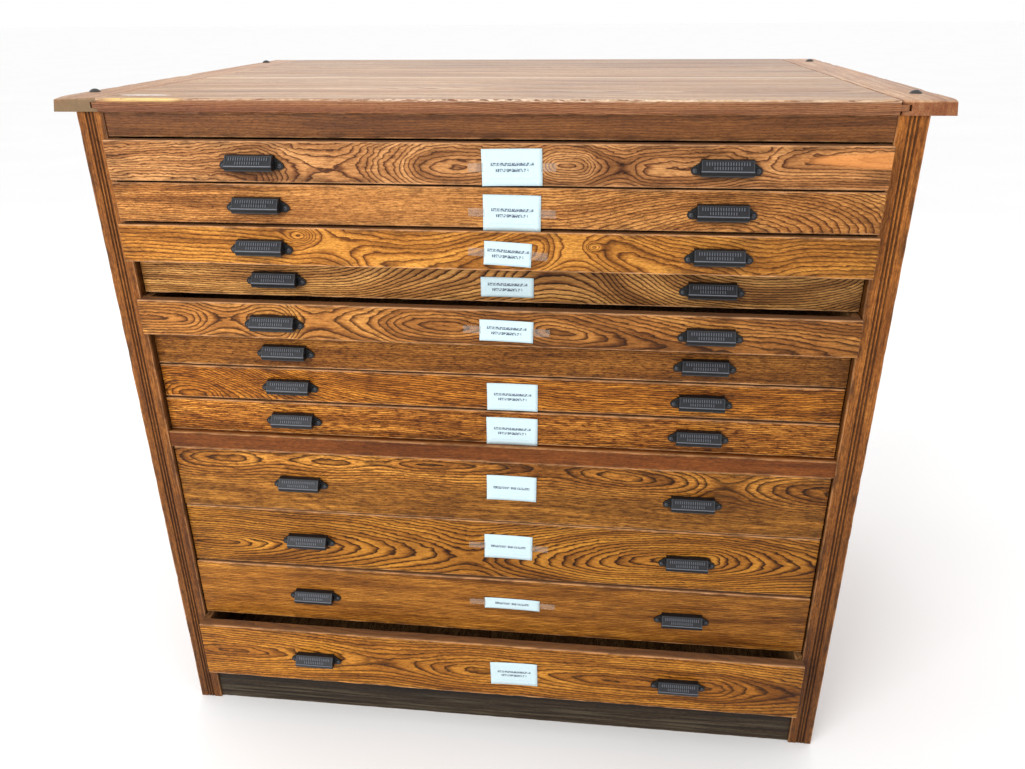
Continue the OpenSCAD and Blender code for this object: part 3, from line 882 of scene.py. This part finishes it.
def dress_case():
    dress_frames()
    dress_front_posts()
    dress_cross_board("rail_top", "top_rail_wood", "case_wood", TOP_RAIL_TONES, 18, 1.2,
                      bold=0.6, grime=0.5, stained=0.5, speckled=0.4)
    dress_cross_board("rail_middle", "divider_wood", "divider_wood", DIVIDER_TONES, 15, 2.4,
                      bold=0.25, worn_tone=(196, 142, 92), shine=0.14, speckled=0.5)
    # pale scuffs low on the toe board, and painted shadow on its upper part under the lowest drawer
    toe_marks = [(scuffed_foot, (100, 90, 70), "MIX"), (painted_drawer_shadow, (16, 12, 9), "MIX")]
    dress_cross_board("toe_board", "toe_wood", "toe_wood", TOE_TONES, 45, 2.0,
                      bold=0.5, gloss=0.6, worn_tone=(118, 100, 80), marks=toe_marks,
                      figure={"spacing": 12, "wander": 10}, tone=[(0, 0.88), (0.5, 1), (1, 1.16)])
    inside = plain_wood("runner_wood", (0, 0, CASE_MIDDLE), "yzx", 900, RUNNER_TONES,
                        pores=0.4, bold=0.4, gloss=0.7)
    for node in ("runner_battens", "runners_left", "runners_right", "kickers", "drawer_stops", "top_cleats"):
        dress(node, inside, 0.5)


# ---------------------------------------------------------------- top

TOP_LONG = 1284
SEAM = 185  # from the middle of the top's front board to its seam, and to its front
SCUFF = (-518, 44, -384, 7)  # the white scuff's middle and half length, then middle and half width
TOP_TONES = ((255, 230, 194), (230, 180, 138), (144, 92, 60))
TOP_FIGURE = {"spacing": 7, "wander": 8, "crinkle": 2, "long": 5,
              "depth": [(0, 30), (0.3, 16), (0.5, 34), (0.8, 20), (1, 30)],
              "height": [(0, -60), (0.4, -20), (0.7, -70), (1, -40)]}
TOP_LOOK = {"pores": 0.3, "gloss": 0.5, "shine": 0.3, "speckled": 0.35, "zoned": 0.6, "stained": 0.6}
TOP_RADIUS = 2.2
OLIVE = (116, 98, 68)
# how far round its front corner each end board is worn away, and how deeply, in metres
CORNER_WEAR = {"left": (0.03, 0.004), "right": (0.02, 0.0022)}


def pale_seam(paint, along, across, depth):
    """The pale band along the seam behind the front board."""
    return (across - SEAM).size().within(6, 2.5) * depth.within(-4, -1) * 0.85


def chipped_arris(paint, along, across, depth):
    """The pale chips along the top's front arris, which are closest together in its middle."""
    chips = paint.noise((along, across, depth), (12, 4, 4), 4.0, 0.75, 71).within(0.44, 0.6)
    crowded = (along - 60).size().within(340, 120) * 0.55 + 0.3
    return (across + SEAM).within(6, 2.5) * depth.within(-5, -1.5) * chips * crowded


def yellow_arris(paint, along, across, depth):
    """The bare yellow wood at the left end of the top's front arris."""
    patchy = paint.noise((along, across, depth), (30, 4, 4), 3.0, 0.7, 79).within(0.36, 0.5)
    upper = (across + SEAM).within(9, 2) * depth.within(-6, -2)
    return upper * (along + 500).size().within(75, 30) * patchy * 0.8


def weathered_bands(paint, along, across, depth):
    """Long streaks in the top's boards that have darkened more than the rest."""
    wide = paint.noise((along, across, depth), (700, 22, 60), 2.0, 0.6, 83).within(0.42, 0.66)
    fine = paint.noise((along, across, depth), (260, 5, 30), 2.0, 0.6, 89).within(0.45, 0.7)
    return wide.apply("MAXIMUM", fine * 0.8) * 0.7


def greyed_back(paint, along, across, depth):
    """1 on the back part of the top, where the varnish has gone dull and grey."""
    return (across - SEAM).within(120, 380) * 0.7


def edge_grain(space):
    """Space in which the lines of the grain run lengthwise on the upright sides too."""
    along, across, depth = space
    return along, across + depth.within(-1.5, -4) * depth * 3, depth


def white_scuff(front_y, paint, along, across, depth):
    """The white scuff at the left of the front board."""
    x, half_long, y, half_wide = SCUFF
    beside = ((along - x) / half_long).squared()
    below = ((across + front_y / MM + SEAM - y) / half_wide).squared()
    patchy = paint.noise((along, across, depth), (14, 3, 3), 3.0, 0.7, 73).within(0.36, 0.5)
    return (1 - beside - below).within(0, 0.4) * patchy * 0.9


def top_side(paint, along, across, depth):
    """1 on the upright sides of the top, which are darker than its upper face."""
    return depth.within(-1.5, -4)


def olive_end(half_long, paint, along, across, depth):
    """1 on the front end of the left end board, which has gone olive."""
    return (along + half_long).within(4, 1) * 0.75


def dress_top():
    low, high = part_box("top_boards")
    aged = [(top_side, (192, 158, 132), "MULTIPLY"), (weathered_bands, (196, 162, 136), "MULTIPLY")]
    marks = aged + [
        (greyed_back, (226, 226, 230), "MULTIPLY"),
        (pale_seam, (255, 236, 208), "MIX"),
        (chipped_arris, (250, 222, 194), "MIX"),
        (yellow_arris, (246, 206, 128), "MIX"),
        (partial(white_scuff, low.y), (255, 255, 255), "MIX"),
    ]
    centre = Vector((0, low.y + SEAM * MM, high.z))
    long_wood = wood("top_wood", centre, "xyz", TOP_LONG, TOP_FIGURE, TOP_TONES, bold=0.75, marks=marks,
                     turned=edge_grain, tone=[(0, 1.1), (0.5, 1.05), (1, 1.0)], **TOP_LOOK)
    worn_board("top_boards", "case", long_wood, radius_mm=TOP_RADIUS, wear_mm=2.6)
    for hand in ("left", "right"):
        dress_top_end(hand, aged)


def dress_top_end(hand, aged):
    """The board across one end of the top, worn most round its outer front corner."""
    node = f"top_end_{hand}"
    low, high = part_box(node)
    centre = Vector((middle(low.x, high.x), middle(low.y, high.y), high.z))
    half_long = (high.y - low.y) / 2 / MM
    marks = list(aged)
    if hand == "left":
        marks.append((partial(olive_end, half_long), OLIVE, "MIX"))
    end_wood = wood(node + "_wood", centre, "yxz", half_long * 2, STRAIGHT, TOP_TONES,
                    seed=2.0 + len(hand), bold=0.1, marks=marks, **TOP_LOOK)
    corner = Vector((low.x if hand == "left" else high.x, low.y, high.z))
    worn_board(node, "case", end_wood, axis=1, radius_mm=TOP_RADIUS, wear_mm=2.0,
               dents=[(corner, *CORNER_WEAR[hand])])


# ---------------------------------------------------------------- pulls

# a pull's own frame, in metres: x across it, -y out from the drawer's face, z up from its foot
PULL_BODY = 0.072
PULL_WIDE = 0.098
PULL_TALL = 0.022
PULL_OUT = 0.020
PULL_LIP = 0.0172
PULL_WALL = 0.0028
PULL_FACE_TOP = (0, -0.0100, 0.0212)
PULL_FACE_FOOT = (0, -0.0194, 0.0072)
# the hood's section, as (y, z) points from the wall over the top and down to the lip, and back inside
HOOD_OUTER = [(0, PULL_TALL), (-0.0085, PULL_TALL), PULL_FACE_TOP[1:], PULL_FACE_FOOT[1:],
              (-PULL_OUT, 0.0058), (-0.0188, 0.0046), (-PULL_LIP, 0)]
HOOD_INNER = [(-PULL_LIP + PULL_WALL, 0), (-0.0160, 0.0056), (-0.0082, PULL_TALL - PULL_WALL),
              (0, PULL_TALL - PULL_WALL)]
CHEEK_INSET = 0.0002
EAR_ROOT = 0.0345
EAR_SHOULDER = 0.0190
EAR_RADIUS = 0.006
EAR_SCREW_X = 0.043
EAR_SCREW_Z = 0.006
EAR_THICK = 0.003


def pull_mesh(iron):
    """A cast bin pull: sloping hood, cheeks, ribs on the face, and an eared screw at both ends."""
    bm = bmesh.new()
    half = PULL_BODY / 2
    prism(bm, HOOD_OUTER + HOOD_INNER, -half, half)
    cheek = [(y * 0.985, z * 0.99) for y, z in HOOD_OUTER + [(0, 0)]]
    for sign in (-1, 1):
        start, end = sorted((sign * half, sign * (half - PULL_WALL)))
        prism(bm, cheek, start + CHEEK_INSET, end - CHEEK_INSET)
    face_start = Vector(PULL_FACE_TOP)
    face_end = Vector(PULL_FACE_FOOT)
    slope = (face_end - face_start).normalized()
    out = Vector((0, slope.z, -slope.y))
    add_ribs(bm, face_start, slope, out, (face_end - face_start).length)
    for sign in (-1, 1):
        add_ear(bm, sign)
    master = new_object("pull_master", bm, iron)
    mesh = master.data
    bpy.data.objects.remove(master)
    return mesh


RIB_PITCH = 0.0036
RIB_HALF = 0.0007
RIB_RISE = 0.0009
BORDER_HALF = 0.0007
RIB_ROWS = ((0.14, 0.46, 17), (0.54, 0.82, 11))  # from and to along the face's slope, and how many


def add_ribs(bm, start, slope, out, length):
    """Two rows of fine upright ribs on the hood's face, with a thin border round them."""

    def bar(first, last, x, half, rise=1.0):
        ramp = 0.03
        places = [(first, -0.6), (first, 0.6), (first + ramp, 1)]
        places += [(last - ramp, 1), (last, 0.6), (last, -0.6)]
        corners = [start + slope * length * t + out * RIB_RISE * h * rise for t, h in places]
        prism(bm, [(c.y, c.z) for c in corners], x - half, x + half)

    for first, last, count in RIB_ROWS:
        for i in range(count):
            bar(first, last, (i - (count - 1) / 2) * RIB_PITCH, RIB_HALF)
    half = PULL_BODY / 2 - 0.0012
    bar(0.0, 0.07, 0, half, 0.45)
    bar(0.92, 1.0, 0, half, 0.7)
    for sign in (-1, 1):
        bar(0.0, 1.0, sign * half, BORDER_HALF, 0.45)


def add_ear(bm, sign):
    """One ear: its outline in the wall's plane, and a slotted round-headed screw."""
    end = arc((EAR_SCREW_X, EAR_SCREW_Z), EAR_RADIUS, -90, 62, 10)
    outline = [(EAR_ROOT, 0.0), *end, (EAR_ROOT, EAR_SHOULDER)]
    solid_between(bm, *[[(sign * x, y, z) for x, z in outline] for y in (0.0, -EAR_THICK)])
    add_screw(bm, Vector((sign * EAR_SCREW_X, -EAR_THICK, EAR_SCREW_Z)), 20 * sign + 35)


def add_screw(bm, centre, slot_deg):
    """A round head in two halves, with the slot between them."""
    radius, height, slot_half, floor = 0.0038, 0.0022, 0.0005, 0.0007
    turn = Matrix.Rotation(math.radians(90), 3, "X") @ Matrix.Rotation(math.radians(slot_deg), 3, "Z")
    for side in (-1, 1):
        rows = []
        for level in range(6):
            lift = math.pi / 2 * level / 5
            ring_r = radius * math.cos(lift) if level < 5 else slot_half * 1.02
            z = height * math.sin(lift)
            reach = math.acos(min(1.0, slot_half / max(ring_r, slot_half * 1.02)))
            row = []
            for i in range(13):
                angle = math.pi / 2 - reach + 2 * reach * i / 12
                point = Vector((side * ring_r * math.sin(angle), ring_r * math.cos(angle), z))
                row.append(bm.verts.new(centre + turn @ point))
            rows.append(row)
        for lower, upper in zip(rows, rows[1:]):
            for i in range(12):
                bm.faces.new((lower[i], lower[i + 1], upper[i + 1], upper[i]))
            bm.faces.new((lower[0], upper[0], upper[12], lower[12]))
    lathe(bm, [(0, 0), (radius * 0.97, 0), (radius * 0.9, floor), (0, floor)], centre, turn)


def make_pulls():
    """Two pulls on each drawer, which share one mesh."""
    mesh = pull_mesh(iron_paint())
    for number in DRAWERS:
        face_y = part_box(drawer(number) + "_front")[0].y
        places, foot = pull_spots(number)
        for side, x in zip(("left", "right"), places):
            pull = bpy.data.objects.new(f"pull_{number:02d}_{side}", mesh)
            bpy.context.scene.collection.objects.link(pull)
            pull.location = (x, face_y, foot)
            rounded(pull, 0.45, math.radians(30))
            weighted(pull)
            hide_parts(drawer(number) + "_pulls")
            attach(pull, drawer(number))


# ---------------------------------------------------------------- labels

# each card's left edge from the middle of the case, height of its middle above the pulls' middle,
# width and height in millimetres, and tilt in degrees
LABELS = {
    1: (3, -3.6, 87, 52, -1.0),
    2: (3, -7, 85, 53, 0.6),
    3: (4, -3.8, 71, 36, 3.0),
    4: (-8, -5, 83, 32, 0.2),
    5: (-7, -3.5, 84, 35, 1.5),
    7: (-2, -5.6, 84, 49, 0.0),
    8: (-4, -6, 86, 51, 0.3),
    9: (-5, 9.8, 86, 49, 0.8),
    10: (-12, 9, 86, 50, 1.0),
    11: (-14, 7.5, 102, 24, 0.8),
    12: (-1, -4, 88, 53, -1.2),
}
ONE_LINE = (9, 10, 11)  # the cards with one line of print
TAPES = {1: 22, 2: 24, 3: 26, 5: 28, 10: 30, 11: 30}  # lengths of the tape at both ends of a card
TAPE_TALL = 12.5
TAPE_LAP = 2  # how far a tape lies over its card
CARD_SHEET = {"lift": 0.6, "curl": 1.2, "thickness": 0.4}
TAPE_SHEET = {"lift": 1.1, "curl": 0.3, "thickness": 0.1}


def sheet_piece(name, width, height, material, lift, curl, thickness):
    """A thin sheet that faces the front, with its corners curled a little. Sizes are in millimetres."""
    bm = bmesh.new()
    columns, rows = 14, 8
    grid = []
    for row in range(rows + 1):
        line = []
        for column in range(columns + 1):
            s = column / columns * 2 - 1
            t = row / rows * 2 - 1
            out = lift + curl * (abs(s * t) ** 3 + 0.25 * max(0.0, t) ** 4)
            line.append(bm.verts.new(Vector((s * width / 2, -out, t * height / 2)) * MM))
        grid.append(line)
    for lower, upper in zip(grid, grid[1:]):
        for i in range(columns):
            bm.faces.new((lower[i], lower[i + 1], upper[i + 1], upper[i]))
    piece = new_object(name, bm, material)
    solid = piece.modifiers.new("thickness", "SOLIDIFY")
    solid.thickness = thickness * MM
    return piece


def stick_on(piece, number, centre, turn):
    """Puts a sheet on a drawer's front."""
    piece.matrix_world = Matrix.Translation(centre) @ turn
    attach(piece, drawer(number))


def make_labels():
    one_line = card_paint("label_card_one_line", ((0, 31),))
    two_lines = card_paint("label_card_two_lines", ((4.2, 31), (-4.2, 23)))
    tape = tape_paint()
    for number, (left, rise, width, height, tilt) in LABELS.items():
        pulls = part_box(drawer(number) + "_pulls")
        face_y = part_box(drawer(number) + "_front")[0].y
        centre_z = middle(pulls[0].z, pulls[1].z) + rise * MM
        centre = Vector(((left + width / 2) * MM, face_y, centre_z))
        turn = Matrix.Rotation(math.radians(tilt), 4, "Y")
        card = one_line if number in ONE_LINE else two_lines
        label = sheet_piece(f"label_{number:02d}", width, height, card, **CARD_SHEET)
        stick_on(label, number, centre, turn)
        if number not in TAPES:
            continue
        long = TAPES[number]
        for side, sign in (("left", -1), ("right", 1)):
            piece = sheet_piece(f"tape_{number:02d}_{side}", long, TAPE_TALL, tape, **TAPE_SHEET)
            shift = Vector((sign * (width / 2 + long / 2 - TAPE_LAP) * MM, 0, 0))
            stick_on(piece, number, centre + turn.to_3x3() @ shift, turn)


# ---------------------------------------------------------------- drawers


BOX_TONES = ((196, 156, 108), (172, 130, 84), (128, 90, 54))


def dress_drawers():
    for number in DRAWERS:
        body = drawer(number)
        worn_board(body + "_front", body, front_wood(number), radius_mm=1.4, wear_mm=1.4)
        foot = (0, 0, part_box(body + "_box")[0].z)
        box_wood = plain_wood(f"box_wood_{number:02d}", foot, "yzx", 800, BOX_TONES,
                              seed=number * 2.1, pores=0.4, bold=0.4, gloss=0.6)
        dress(body + "_box", box_wood, 0.6)


# ---------------------------------------------------------------- stage

# where the photo was taken from: metres and radians
CAMERA_PLACE = Vector((0.18295, -1.64340, 1.29473))
CAMERA_YAW = 0.1151
CAMERA_PITCH = 0.4288
CAMERA_ROLL = 0.0094
CAMERA_LENS = 29.24
FLOOR_HALF = 60
FLOOR_DROP = 0.0005
# place, size and watts of each light, and what it points at
LIGHTS = {
    "key": ((-1.9, -3.4, 2.3), (2.2, 1.6), 85, (0, 0, 0.6)),
    "behind": ((-0.2, 3.2, 2.6), (4.0, 1.6), 25, (0, 0, 1.1)),
}


def make_camera():
    yaw, pitch, roll = CAMERA_YAW, CAMERA_PITCH, CAMERA_ROLL
    ahead = Vector((-math.sin(yaw) * math.cos(pitch), math.cos(yaw) * math.cos(pitch), -math.sin(pitch)))
    level = Vector((math.cos(yaw), math.sin(yaw), 0))
    down = ahead.cross(level)
    right = level * math.cos(roll) + down * math.sin(roll)
    lower = down * math.cos(roll) - level * math.sin(roll)
    camera = bpy.data.objects.new("camera", bpy.data.cameras.new("camera"))
    camera.data.lens = CAMERA_LENS
    camera.matrix_world = Matrix((
        (right.x, -lower.x, -ahead.x, CAMERA_PLACE.x),
        (right.y, -lower.y, -ahead.y, CAMERA_PLACE.y),
        (right.z, -lower.z, -ahead.z, CAMERA_PLACE.z),
        (0, 0, 0, 1)))
    bpy.context.scene.collection.objects.link(camera)
    bpy.context.scene.camera = camera


def area_light(name, place, size, watts, target):
    data = bpy.data.lights.new(name, "AREA")
    data.shape = "RECTANGLE"
    data.size, data.size_y = size
    data.energy = watts
    light = bpy.data.objects.new(name, data)
    light.location = place
    light.rotation_mode = "QUATERNION"
    light.rotation_quaternion = (Vector(target) - Vector(place)).to_track_quat("-Z", "Y")
    bpy.context.scene.collection.objects.link(light)


def make_stage():
    bm = bmesh.new()
    bmesh.ops.create_grid(bm, x_segments=4, y_segments=4, size=FLOOR_HALF)
    floor = new_object("floor", bm, floor_paint())
    floor.location.z = -FLOOR_DROP
    bpy.context.scene.view_settings.view_transform = "Standard"
    world = bpy.data.worlds.new("studio")
    world.use_nodes = True
    background = world.node_tree.nodes["Background"]
    background.inputs["Color"].default_value = (1, 1, 1, 1)
    background.inputs["Strength"].default_value = 1.0
    bpy.context.scene.world = world
    for name, light in LIGHTS.items():
        area_light(name, *light)


def dress_bolts():
    steel = steel_paint()
    for node in ("top_bolts", "side_bolt"):
        dress(node, steel, 0.4)


dress_case()
dress_top()
dress_drawers()
make_pulls()
make_labels()
dress_bolts()
make_stage()
make_camera()
